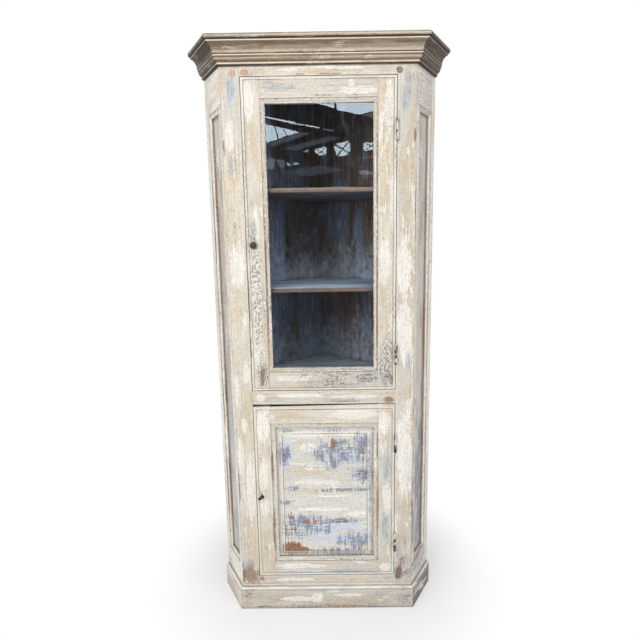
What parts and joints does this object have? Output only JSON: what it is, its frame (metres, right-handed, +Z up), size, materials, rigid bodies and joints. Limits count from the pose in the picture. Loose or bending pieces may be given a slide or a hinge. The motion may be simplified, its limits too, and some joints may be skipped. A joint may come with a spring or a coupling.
{
  "type": "corner cupboard",
  "caption": "Tall painted corner cupboard with canted panelled sides, a glazed upper door with turn latch, a panelled lower door with lock and key, cornice and plinth.",
  "frame": {"origin": "centre of the bounding box in plan, on the floor", "axes": "+X to the right as seen from the front, +Y back into the room's corner, +Z up"},
  "size_m": [0.9274, 0.6332, 2.1],
  "materials": {
    "face_paint": "worn off-white oil paint over pine",
    "return_paint": "worn grey-cream paint over pine",
    "cornice_paint": "yellowed beige paint worn brown on the edges",
    "door_paint": "patched off-white paint with blue-grey undercoat showing",
    "wall_wood": "dark bare boards with traces of blue-grey paint",
    "shelf_wood": "bare brown pine",
    "window_glass": "old clear glass",
    "iron": "dark wrought iron",
    "hinge_metal": "iron painted over in the frame's off-white",
    "knob_wood": "dark polished wood"
  },
  "bodies": {
    "case": {"face_stile_left": "face_paint", "face_stile_right": "face_paint", "frieze_rail": "face_paint", "mid_rail": "face_paint", "base_rail": "face_paint", "plinth_front": "face_paint", "plinth_left": "face_paint", "plinth_right": "face_paint", "cant_front_stile_left": "return_paint", "cant_back_stile_left": "return_paint", "cant_top_rail_left": "return_paint", "cant_base_rail_left": "return_paint", "cant_panel_left": "return_paint", "wall_board_left_1": "wall_wood", "wall_board_left_2": "wall_wood", "wall_board_left_3": "wall_wood", "cornice_left": "cornice_paint", "cant_front_stile_right": "return_paint", "cant_back_stile_right": "return_paint", "cant_top_rail_right": "return_paint", "cant_base_rail_right": "return_paint", "cant_panel_right": "return_paint", "wall_board_right_1": "wall_wood", "wall_board_right_2": "wall_wood", "wall_board_right_3": "wall_wood", "cornice_right": "cornice_paint", "cornice_front": "cornice_paint", "corner_fillet": "wall_wood", "top_board": "wall_wood", "base_board": "shelf_wood", "cupboard_floor": "shelf_wood", "shelf_lower": "shelf_wood", "shelf_upper": "shelf_wood", "upper_hinge_1_frame_leaf": "hinge_metal", "upper_hinge_1_pin": "iron", "upper_hinge_2_frame_leaf": "hinge_metal", "upper_hinge_2_pin": "iron", "lower_hinge_1_frame_leaf": "hinge_metal", "lower_hinge_1_pin": "iron", "lower_hinge_2_frame_leaf": "hinge_metal", "lower_hinge_2_pin": "iron"},
    "upper_door": {"upper_hinge_1_door_leaf": "hinge_metal", "upper_hinge_2_door_leaf": "hinge_metal", "upper_door_stile_left": "door_paint", "upper_door_stile_right": "door_paint", "upper_door_base_rail": "door_paint", "upper_door_top_rail": "door_paint", "upper_door_glass": "window_glass"},
    "lower_door": {"lower_hinge_1_door_leaf": "hinge_metal", "lower_hinge_2_door_leaf": "hinge_metal", "lower_door_stile_left": "door_paint", "lower_door_stile_right": "door_paint", "lower_door_base_rail": "door_paint", "lower_door_top_rail": "door_paint", "lower_door_panel": "door_paint", "lock_case": "iron"},
    "latch": {"knob": "knob_wood", "latch_bar": "iron"},
    "lock_bolt": {"lock_bolt": "iron"},
    "key": {"key": "iron"}
  },
  "joints": [
    {"name": "upper_door_hinge", "type": "hinge", "parent": "case", "child": "upper_door", "pos_m": [0.266, -0.26338, 1.419], "axis": [0, 0, 1], "range_deg": [0, 160]},
    {"name": "lower_door_hinge", "type": "hinge", "parent": "case", "child": "lower_door", "pos_m": [0.266, -0.26338, 0.481], "axis": [0, 0, 1], "range_deg": [0, 160]},
    {"name": "latch_turn", "type": "hinge", "parent": "upper_door", "child": "latch", "pos_m": [-0.2385, -0.24658, 1.4259], "axis": [0, 1, 0], "range_deg": [0, 90]},
    {"name": "key_turn", "type": "hinge", "parent": "lower_door", "child": "key", "pos_m": [-0.2435, -0.24658, 0.479], "axis": [0, -1, 0], "range_deg": [0, 90]},
    {"name": "bolt_slide", "type": "slide", "parent": "lower_door", "child": "lock_bolt", "axis": [-1, 0, 0], "range_m": [0, 0.01]}
  ],
  "couplings": [
    {"joint": "key_turn", "follows": "bolt_slide", "rad_per_m": 157.07}
  ]
}
